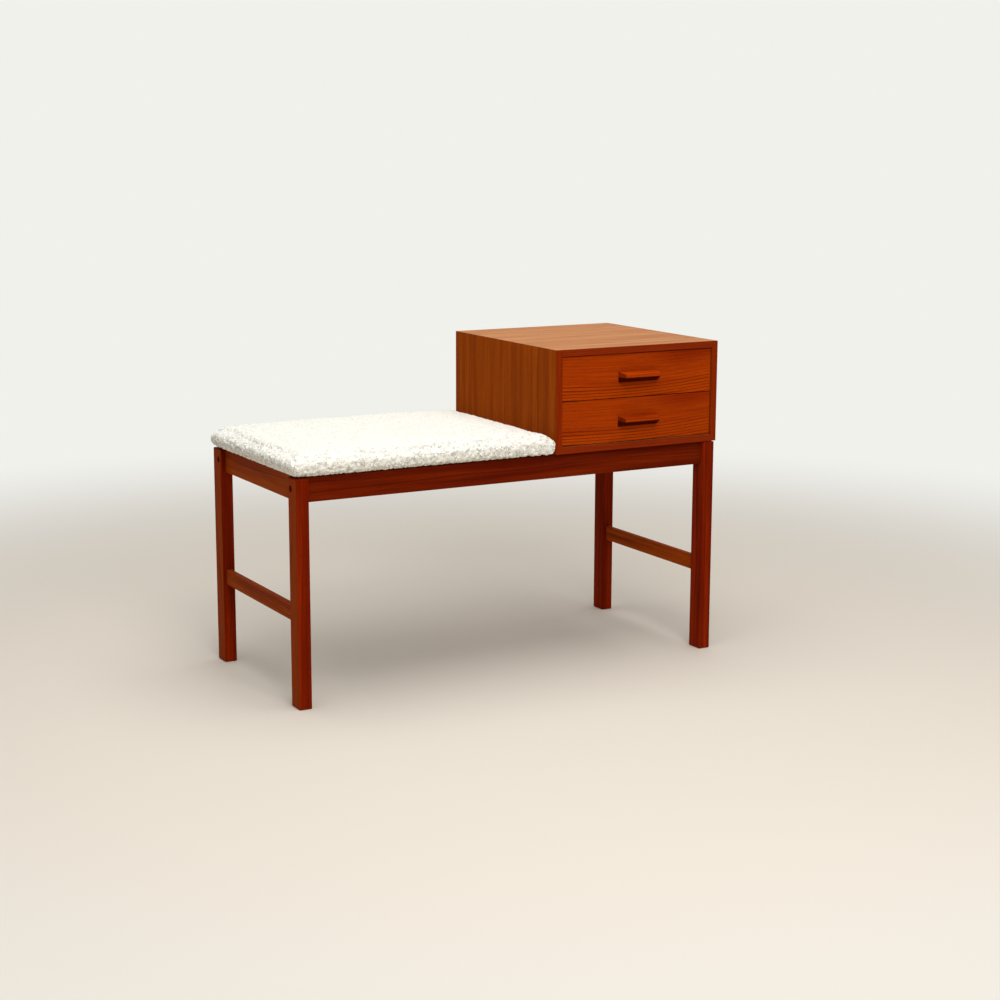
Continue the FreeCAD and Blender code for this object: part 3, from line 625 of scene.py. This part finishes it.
def loop_height(place, spacing):
    """Height of the boucle's loops at a place, from 0 between them to about 1 on them."""
    spot = Vector(place) / spacing
    spot += 0.45 * noise.noise_vector(spot * 0.9)
    nearest = noise.voronoi(spot)[0][0]
    curl = 0.25 * noise.noise(spot * 2.3)
    return max(0.0, 1 - (nearest / 0.8) ** 2) + curl


def raise_loops(mesh, settings):
    """Pushes the loops out of the cloth, and keeps their height for the colour."""
    points = values_of(mesh, "co")
    pile = np.array([loop_height(point, settings.loop_spacing) for point in points])
    outward = values_of(mesh, "normal")
    standing = 1 - settings.pressed * np.clip(outward[:, 2], 0, 1) ** 4
    set_points(mesh, points + outward * ((pile - 0.5) * settings.loop_height * standing)[:, None])
    attribute = mesh.attributes.new("pile", "FLOAT", "POINT")
    attribute.data.foreach_set("value", pile.astype(np.float32))


def hang_front(mesh, settings, front, left, right):
    """Lets the cover's lower edge hang in front of the frame, most beside the cabinet."""
    points = values_of(mesh, "co")
    below = points[:, 2].min()
    clearance = 2 * MM
    edge_height = 20 * MM
    ahead = np.clip((front - points[:, 1]) / clearance, 0, 1)
    beside = 0.3 + 0.7 * np.clip((points[:, 0] - left) / (right - left), 0, 1)
    low = np.clip(1 - (points[:, 2] - below) / edge_height, 0, 1)
    points[:, 2] -= settings.hang * ahead * beside * low ** 1.5
    set_points(mesh, points)


def keep_clear(mesh, frame_low, frame_high, rest_level, case_left, case_front):
    """Keeps the cover off the frame under it and off the cabinet beside it."""
    points = values_of(mesh, "co")
    gap = 0.3 * MM
    overhang = 8 * MM
    outside = (
        (points[:, 1] < frame_low.y - gap)
        | (points[:, 1] > frame_high.y + gap)
        | (points[:, 0] < frame_low.x - gap)
    )
    lowest = np.where(outside, rest_level - overhang, rest_level + 0.1 * MM)
    points[:, 2] = np.maximum(points[:, 2], lowest)
    rightmost = np.where(points[:, 1] < case_front - gap, case_left + overhang, case_left - gap)
    points[:, 0] = np.minimum(points[:, 0], rightmost)
    set_points(mesh, points)


class BENCH_OT_seat_pad(bpy.types.Operator):
    """Shapes the boucle pad, swells it over its foam and raises its loops."""
    bl_idname = "bench.seat_pad"
    bl_label = "Seat pad"

    def execute(self, context):
        settings = context.scene.bench_seat
        low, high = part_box("seat_cover")
        full = settings.fullness
        shell_low = low - Vector((full, full, 0))
        shell_high = high + Vector((0, full, -settings.crown))
        points, faces = box_cells(shell_low, shell_high, settings.cell)
        mesh = mesh_of(pad_points(points, shell_low, shell_high, settings), faces)
        wool = boucle_wool("boucle wool, looped", settings)
        piece = new_piece("seat_pad", mesh, wool, ["seat_cover", "seat_foam"])
        swell(piece, settings)
        divided = piece.modifiers.new("divided", "SUBSURF")
        divided.levels = 2
        divided.render_levels = 2
        finished = applied(piece)
        piece.modifiers.clear()
        open_underside(finished, low, high, settings.tuck)
        frame_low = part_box("front_left_leg")[0]
        frame_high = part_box("rear_right_leg")[1]
        case_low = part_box("case_left_side")[0]
        hang_front(finished, settings, frame_low.y, low.x, high.x)
        # without a seed, the noise that bends the loops differs from run to run
        noise.seed_set(settings.loop_seed)
        raise_loops(finished, settings)
        rest_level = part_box("seat_batten_left")[1].z
        keep_clear(finished, frame_low, frame_high, rest_level, case_low.x, case_low.y)
        finished.shade_smooth()
        old = piece.data
        piece.data = finished
        bpy.data.meshes.remove(old)
        return {"FINISHED"}


class BENCH_OT_lining(bpy.types.Operator):
    """Makes the cotton lining under the seat."""
    bl_idname = "bench.lining"
    bl_label = "Seat lining"

    def execute(self, context):
        settings = context.scene.bench_seat
        low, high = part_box("seat_lining")
        cell = 9 * MM
        ripple_length = 50 * MM
        ripple_height = 0.05 * MM
        points, faces = box_cells(low, high, cell)
        middle = (low.z + high.z) / 2
        ripple = np.array([noise.noise(Vector(point) / ripple_length) for point in points])
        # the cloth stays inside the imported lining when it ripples
        points[:, 2] = np.where(points[:, 2] < middle, low.z + ripple_height, high.z - 2 * ripple_height)
        points[:, 2] += ripple_height * ripple
        cotton = woven_cotton("black cotton, plain woven", settings)
        piece = new_piece("seat_lining_cloth", mesh_of(points, faces), cotton, ["seat_lining"])
        piece.data.shade_smooth()
        return {"FINISHED"}


# Wood

FRAME_WOOD = {
    "X": ("front_rail", "rear_rail"),
    "Y": ("left_end_rail", "right_end_rail", "left_stretcher", "right_stretcher"),
    "Z": ("front_left_leg", "front_right_leg", "rear_left_leg", "rear_right_leg"),
}


def painted_light_faces(tree):
    """Marks the faces of the legs that look away from the bench's middle, which are painted browner:
    painted light, for the warm light that falls on them.
    """
    place = add(tree, "SeparateXYZ", "X", {0: add(tree, "TexCoord", "Object")})
    normal = add(tree, "SeparateXYZ", "X", {0: add(tree, "TexCoord", "Normal")})
    outward = add(tree, "Math", 0, {0: place, 1: normal}, operation="MULTIPLY")
    return add(tree, "MapRange", 0, {0: outward, 1: 0.3, 2: 0.4})


class BENCH_OT_frame_wood(bpy.types.Operator):
    """Oils the solid teak of the legs, rails and stretchers, with the grain along each piece."""
    bl_idname = "bench.frame_wood"
    bl_label = "Frame"

    def execute(self, context):
        settings = context.scene.bench_wood
        # the legs' outer faces take painted light
        looks = {"X": ("rail", None), "Y": ("end", None), "Z": ("leg", painted_light_faces)}
        for grain, (wood, mask) in looks.items():
            material = oiled_teak(
                f"solid teak, planed and oiled, grain along {grain}", settings, grain,
                growth(settings, wood), settings.sheen, mask=mask, masked=settings.painted_side_light,
            )
            finish_nodes(FRAME_WOOD[grain], material)
        return {"FINISHED"}


class BENCH_OT_case(bpy.types.Operator):
    """Veneers the case so that its grain runs on round the mitres, with solid bands on its front edges."""
    bl_idname = "bench.case"
    bl_label = "Case"

    def execute(self, context):
        settings = context.scene.bench_wood
        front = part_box("case_top")[0].y

        def band(tree):
            depth = add(tree, "SeparateXYZ", "Y", {0: add(tree, "TexCoord", "Object")})
            return add(tree, "Math", 0, {0: depth, 1: front + settings.edge_band}, operation="LESS_THAN")

        looks = (
            # the top's lighter tones are painted reflection
            ("top", "top", "X", settings.top_sheen, ("case_top", "case_bottom")),
            ("sides", "side", "Z", settings.sheen, ("case_left_side", "case_right_side")),
        )
        for part, wood, grain, sheen, names in looks:
            material = oiled_teak(
                f"teak veneer, sliced and oiled, case {part}", settings, grain,
                growth(settings, wood), sheen, 0.35, mask=band, masked=settings.edge_colour,
            )
            finish_nodes(names, material)
        return {"FINISHED"}


def front_leaf(low, high):
    """Makes the figure of a drawer front: bold lines low down, and a darker upper right corner.

    The lines sag from the front's left end and then climb, by lengths for the front's whole width.
    """
    sag = -16 * MM
    climbing = 24 * MM
    offset = -3.6 * MM
    bold_up_to = 33 * MM
    faint_from = 38 * MM
    dark_from = 34 * MM
    dark_up_to = 46 * MM
    corner_level = 86 * MM
    corner_across = 0.85

    def leaf(tree, place):
        place = add(tree, "VectorMath", 0, {0: place, 1: low}, operation="SUBTRACT")
        parts = add(tree, "SeparateXYZ", "X", {0: place}).node
        height = parts.outputs["Z"]
        across = add(tree, "MapRange", 0, {0: parts.outputs["X"], 2: high.x - low.x})
        slope = add(tree, "Math", 0, {0: across, 1: climbing, 2: sag}, operation="MULTIPLY_ADD")
        climb = add(tree, "Math", 0, {0: across, 1: slope, 2: offset}, operation="MULTIPLY_ADD")
        level = add(tree, "Math", 0, {0: height, 1: climb}, operation="SUBTRACT")
        bold = add(tree, "MapRange", 0, {0: level, 1: bold_up_to, 2: faint_from, 3: 0.8, 4: 0.25}, **SMOOTH)
        fainter = add(tree, "MapRange", 0, {0: across, 3: 1.0, 4: 0.7})
        bold = add(tree, "Math", 0, {0: bold, 1: fainter}, operation="MULTIPLY")
        aside = add(tree, "Math", 0, {0: across, 1: 2.2, 2: -2.2 * corner_across}, operation="MULTIPLY_ADD")
        above = add(tree, "Math", 0, {0: level, 1: 20.0, 2: -20.0 * corner_level}, operation="MULTIPLY_ADD")
        away = add(tree, "CombineXYZ", 0, {"X": aside, "Y": above})
        distance = add(tree, "VectorMath", "Value", {0: away}, operation="LENGTH")
        corner = add(tree, "MapRange", 0, {0: distance, 1: 0.1, 2: 1.1, 3: 1.0, 4: 0.0}, **SMOOTH)
        upper = add(tree, "MapRange", 0, {0: level, 1: dark_from, 2: dark_up_to, 4: 0.4})
        deep = add(tree, "Math", 0, {0: corner, 1: upper}, operation="MAXIMUM")
        return place, level, bold, deep
    return leaf


def painted_pull_shade(low, high):
    """Marks the lower part of a pull, which is painted dark: painted shade under the pull, away from the
    light above.
    """
    tall = high.z - low.z
    dark_up_to = low.z + 0.42 * tall
    clean_from = low.z + 0.62 * tall

    def nose(tree):
        height = add(tree, "SeparateXYZ", "Z", {0: add(tree, "TexCoord", "Object")})
        return add(tree, "MapRange", 0, {0: height, 1: dark_up_to, 2: clean_from, 3: 1.0, 4: 0.0}, **SMOOTH)
    return nose


class BENCH_OT_drawers(bpy.types.Operator):
    """Finishes the drawers: like leaves of figured teak on both fronts, teak pulls and beech boxes."""
    bl_idname = "bench.drawers"
    bl_label = "Drawers"

    def execute(self, context):
        settings = context.scene.bench_wood
        colours = growth(settings, "front")
        beech_x, beech_y = [
            planed_beech(f"beech, planed, grain along {grain}", settings, grain) for grain in "XY"
        ]
        plywood = sanded_birch_plywood("birch plywood, sanded", settings, "X")
        for level in ("upper", "lower"):
            drawer = f"{level}_drawer"
            leaf = front_leaf(*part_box(f"{drawer}_front"))
            nose = painted_pull_shade(*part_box(f"{drawer}_pull"))
            front = oiled_teak(
                f"figured teak veneer, {level} leaf", settings, "X", colours, settings.sheen, leaf=leaf,
            )
            # the pull's lower part takes painted shade
            pull = oiled_teak(
                f"solid teak, shaped and oiled, {level}", settings, "X", colours, settings.sheen, 0.4,
                mask=nose, masked=settings.pull_shade_colour,
            )
            finish_nodes([f"{drawer}_front"], front)
            finish_nodes([f"{drawer}_pull"], pull)
            finish_nodes([f"{drawer}_left_side", f"{drawer}_right_side"], beech_y)
            finish_nodes([f"{drawer}_back"], beech_x)
            finish_nodes([f"{drawer}_bottom"], plywood)
        return {"FINISHED"}


CROSS_PIECES = (
    "seat_batten_left", "seat_batten_right", "cabinet_batten_left", "cabinet_batten_right",
    "upper_left_runner", "upper_right_runner", "lower_left_runner", "lower_right_runner",
    "end_rail_dowels",
)


class BENCH_OT_hidden_wood(bpy.types.Operator):
    """Finishes the battens, runners, dowels, boards and the case's back."""
    bl_idname = "bench.hidden_wood"
    bl_label = "Inner wood"

    def execute(self, context):
        settings = context.scene.bench_wood
        along_x = planed_beech("beech, turned and planed, grain along X", settings, "X")
        along_y = planed_beech("beech, sawn and planed, grain along Y", settings, "Y")
        plywood = sanded_birch_plywood("birch plywood, sanded, boards", settings, "X")
        finish_nodes(CROSS_PIECES, along_y)
        finish_nodes(["locating_dowels"], along_x)
        finish_nodes(["seat_board", "case_back", "case_tongues"], plywood)
        return {"FINISHED"}


# Fasteners

def solids_of(node):
    """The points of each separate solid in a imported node."""
    shell = bmesh.new()
    shell.from_mesh(node.data)
    bmesh.ops.remove_doubles(shell, verts=shell.verts, dist=0.01 * MM)
    left = set(shell.verts)
    solids = []
    while left:
        found = [left.pop()]
        for vertex in found:
            for edge in vertex.link_edges:
                other = edge.other_vert(vertex)
                if other in left:
                    left.remove(other)
                    found.append(other)
        solids.append(np.array([vertex.co[:] for vertex in found]))
    shell.free()
    return sorted(solids, key=lambda solid: tuple(np.round(solid.mean(0), 4)))


def screw_axis(solid):
    """Middle of the head, the direction the screw points in, its length and its head's radius."""
    low = solid.min(0)
    high = solid.max(0)
    axis = int(np.argmax(high - low))
    end_depth = 0.2 * MM
    spread = []
    for end in (low, high):
        near = solid[np.abs(solid[:, axis] - end[axis]) < end_depth]
        spread.append(np.ptp(np.delete(near, axis, 1)))
    towards = 1 if spread[0] > spread[1] else -1
    direction = Vector((0, 0, 0))
    direction[axis] = towards
    head = Vector((low + high) / 2)
    head[axis] = low[axis] if towards > 0 else high[axis]
    across = np.delete(high - low, axis).max() / 2
    return head, direction, high[axis] - low[axis], across


def turned_screw(length, head_radius, settings):
    """A slotted countersunk wood screw along Z from its head, with a thread on its lower part."""
    core = head_radius / 2
    root = 0.72 * core
    pitch = 0.62 * core
    thread_start = 0.36 * length
    rim = 0.08 * head_radius
    profile = [(0, 0), (0.97 * head_radius, 0), (head_radius, rim), (core, head_radius - core)]
    depth = thread_start
    point = length - 2 * core
    while depth + pitch < point:
        profile += [(root, depth), (core, depth + 0.5 * pitch), (root, depth + pitch)]
        depth += pitch
    profile += [(0.7 * core, point), (0.05 * core, length), (0, length)]
    shell = bmesh.new()
    line = [shell.verts.new((radius, 0, depth)) for radius, depth in profile]
    edges = [shell.edges.new(pair) for pair in zip(line, line[1:])]
    bmesh.ops.spin(
        shell, geom=line + edges, axis=(0, 0, 1), cent=(0, 0, 0), angle=2 * math.pi, steps=settings.sides,
    )
    bmesh.ops.remove_doubles(shell, verts=shell.verts, dist=0.001 * MM)
    bmesh.ops.recalc_face_normals(shell, faces=shell.faces)
    mesh = bpy.data.meshes.new("screw")
    shell.to_mesh(mesh)
    shell.free()
    return cut_slot(mesh, head_radius, settings)


def cut_slot(mesh, head_radius, settings):
    """The screw with a slot cut across its head."""
    screw = bpy.data.objects.new("screw", mesh)
    cutter_points, cutter_faces = box_cells(
        (-1.2 * head_radius, -settings.slot_width / 2, -1 * MM),
        (1.2 * head_radius, settings.slot_width / 2, min(settings.slot_depth, 0.7 * head_radius)), 1.0,
    )
    cutter = bpy.data.objects.new("slot", mesh_of(cutter_points, cutter_faces))
    for item in (screw, cutter):
        bpy.context.scene.collection.objects.link(item)
    cut = screw.modifiers.new("slot", "BOOLEAN")
    cut.object = cutter
    cut.solver = "EXACT"
    slotted = applied(screw)
    for item in (screw, cutter):
        bpy.data.objects.remove(item)
    return slotted


SCREW_NODES = (
    "batten_screws", "seat_screws", "case_screws", "back_screws", "runner_screws",
    "upper_drawer_pull_screws", "lower_drawer_pull_screws",
    "upper_drawer_bottom_screw", "lower_drawer_bottom_screw",
)


class BENCH_OT_fasteners(bpy.types.Operator):
    """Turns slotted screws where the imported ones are, and blackens the connecting bolts."""
    bl_idname = "bench.fasteners"
    bl_label = "Fasteners"

    def execute(self, context):
        settings = context.scene.bench_metal
        zinc = plated_steel("steel, zinc plated", settings.zinc, settings.zinc_roughness)
        black = plated_steel("steel, blackened", settings.black, settings.black_roughness)
        for node_name in SCREW_NODES:
            joined = bmesh.new()
            for index, solid in enumerate(solids_of(frame["nodes"][node_name])):
                head, direction, length, head_radius = screw_axis(solid)
                if index == 0:
                    screw = turned_screw(length, head_radius, settings)
                copy = screw.copy()
                turn = direction.to_track_quat("Z", "Y").to_matrix().to_4x4()
                # each screw stops at its own turn
                spin = Matrix.Rotation(2.4 * index + 0.7, 4, "Z")
                copy.transform(Matrix.Translation(head) @ turn @ spin)
                joined.from_mesh(copy)
                bpy.data.meshes.remove(copy)
            mesh = bpy.data.meshes.new(node_name)
            joined.to_mesh(mesh)
            joined.free()
            piece = new_piece(f"{node_name}_slotted", mesh, zinc, [node_name])
            piece.data.shade_smooth()
            piece.data.set_sharp_from_angle(angle=math.radians(30))
        finish_nodes(["connecting_bolts"], black)
        finish_nodes(["barrel_nuts"], zinc)
        return {"FINISHED"}


# Stage

def seen_directly(tree):
    """One for the camera and for reflections, and nothing for the light on the object."""
    path = add(tree, "LightPath", 0).node.outputs
    return add(tree, "Math", 0, {0: path["Is Camera Ray"], 1: path["Is Glossy Ray"]}, operation="MAXIMUM")


def set_room(scene, settings):
    """Even light from all round, with the backdrop's colour where the camera and reflections see it."""
    world = bpy.data.worlds.new("room")
    world.use_nodes = True
    tree = world.node_tree
    tree.nodes.clear()
    lit = add(tree, "Background", 0, {"Strength": settings.room_strength, "Color": (1, 1, 1, 1)})
    backdrop = add(tree, "Background", 0, {"Color": rgba(settings.backdrop_colour)})
    mixed = add(tree, "MixShader", 0, {0: seen_directly(tree), 1: lit, 2: backdrop})
    add(tree, "OutputWorld", None, {"Surface": mixed})
    scene.world = world


def set_floor(settings):
    """A plain pale floor, matt so that it has no highlight, that fades into the backdrop far away."""
    material = bpy.data.materials.new("painted board, matt")
    material.use_nodes = True
    tree = material.node_tree
    tree.nodes.clear()
    place = add(tree, "TexCoord", "Object")
    distance = add(tree, "VectorMath", "Value", {0: place}, operation="LENGTH")
    far = add(tree, "MapRange", 0, {0: distance, 1: settings.fade_start, 2: settings.fade_end}, **SMOOTH)
    fade = add(tree, "Math", 0, {0: far, 1: seen_directly(tree)}, operation="MULTIPLY")
    paint = add(tree, "BsdfPrincipled", 0, {
        "Base Color": rgba(settings.floor_colour), "Roughness": 0.7, "Specular IOR Level": 0.2,
    })
    glow = add(tree, "Emission", 0, {"Color": rgba(settings.backdrop_colour)})
    mixed = add(tree, "MixShader", 0, {0: fade, 1: paint, 2: glow})
    add(tree, "OutputMaterial", None, {"Surface": mixed})
    reach = 30.0
    corners = [(-reach, -reach, 0), (reach, -reach, 0), (reach, reach, 0), (-reach, reach, 0)]
    mesh = mesh_of(corners, [(0, 1, 2, 3)])
    mesh.materials.append(material)
    floor = bpy.data.objects.new("floor", mesh)
    bpy.context.scene.collection.objects.link(floor)


def set_lamp(name, place, target, size, watts):
    """A soft square light that points at a target."""
    light = bpy.data.lights.new(name, "AREA")
    light.energy = watts
    light.size = size
    lamp = bpy.data.objects.new(name, light)
    lamp.location = place
    lamp.rotation_mode = "QUATERNION"
    lamp.rotation_quaternion = (Vector(target) - Vector(place)).to_track_quat("-Z", "Y")
    bpy.context.scene.collection.objects.link(lamp)


def set_camera(scene, settings):
    """The camera at the photograph's viewing angle."""
    heading, dip, roll = settings.camera_heading, settings.camera_dip, settings.camera_roll
    forward = Vector((math.sin(heading) * math.cos(dip), math.cos(heading) * math.cos(dip), -math.sin(dip)))
    level = Vector((math.cos(heading), -math.sin(heading), 0))
    upright = level.cross(forward)
    right = level * math.cos(roll) + upright * math.sin(roll)
    up = upright * math.cos(roll) - level * math.sin(roll)
    turn = Matrix((right, up, -forward)).transposed().to_4x4()
    data = bpy.data.cameras.new("camera")
    data.lens = settings.lens
    data.sensor_width = 36.0
    camera = bpy.data.objects.new("camera", data)
    camera.matrix_world = Matrix.Translation(settings.camera_place) @ turn
    scene.collection.objects.link(camera)
    scene.camera = camera


class BENCH_OT_stage(bpy.types.Operator):
    """Sets the floor, the backdrop, the soft lights and the camera."""
    bl_idname = "bench.stage"
    bl_label = "Stage"

    def execute(self, context):
        scene = context.scene
        settings = scene.bench_stage
        scene.view_settings.view_transform = "Standard"
        set_room(scene, settings)
        set_floor(settings)
        set_lamp("overhead", settings.key_place, settings.lit_place, settings.key_size, settings.key_watts)
        set_lamp("front", settings.fill_place, settings.lit_place, settings.fill_size, settings.fill_watts)
        set_camera(scene, settings)
        return {"FINISHED"}


class BENCH_PT_panel(bpy.types.Panel):
    """Lists the bench's steps and settings in the sidebar."""
    bl_idname = "BENCH_PT_panel"
    bl_label = "Telephone bench"
    bl_space_type = "VIEW_3D"
    bl_region_type = "UI"
    bl_category = "Bench"

    def draw(self, context):
        for step in STEPS:
            self.layout.operator(step.bl_idname)
        for holder, _ in SETTINGS:
            box = self.layout.box()
            group = getattr(context.scene, holder)
            for name in group.__annotations__:
                box.prop(group, name)


STEPS = (
    BENCH_OT_frame_wood, BENCH_OT_case, BENCH_OT_drawers, BENCH_OT_hidden_wood,
    BENCH_OT_fasteners, BENCH_OT_seat_pad, BENCH_OT_lining, BENCH_OT_stage,
)
SETTINGS = (
    ("bench_wood", WoodSettings), ("bench_seat", SeatSettings),
    ("bench_metal", MetalSettings), ("bench_stage", StageSettings),
)


def register():
    """Makes the settings, steps and panel known to Blender."""
    for holder, group in SETTINGS:
        bpy.utils.register_class(group)
        setattr(bpy.types.Scene, holder, PointerProperty(type=group))
    for item in (*STEPS, BENCH_PT_panel):
        bpy.utils.register_class(item)


def unregister():
    """Takes them out again."""
    for item in (BENCH_PT_panel, *reversed(STEPS)):
        bpy.utils.unregister_class(item)
    for holder, group in reversed(SETTINGS):
        delattr(bpy.types.Scene, holder)
        bpy.utils.unregister_class(group)


def main():
    """Runs every step in order."""
    register()
    for step in STEPS:
        group, name = step.bl_idname.split(".")
        getattr(getattr(bpy.ops, group), name)()
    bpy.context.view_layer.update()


if __name__ == "__main__":
    main()
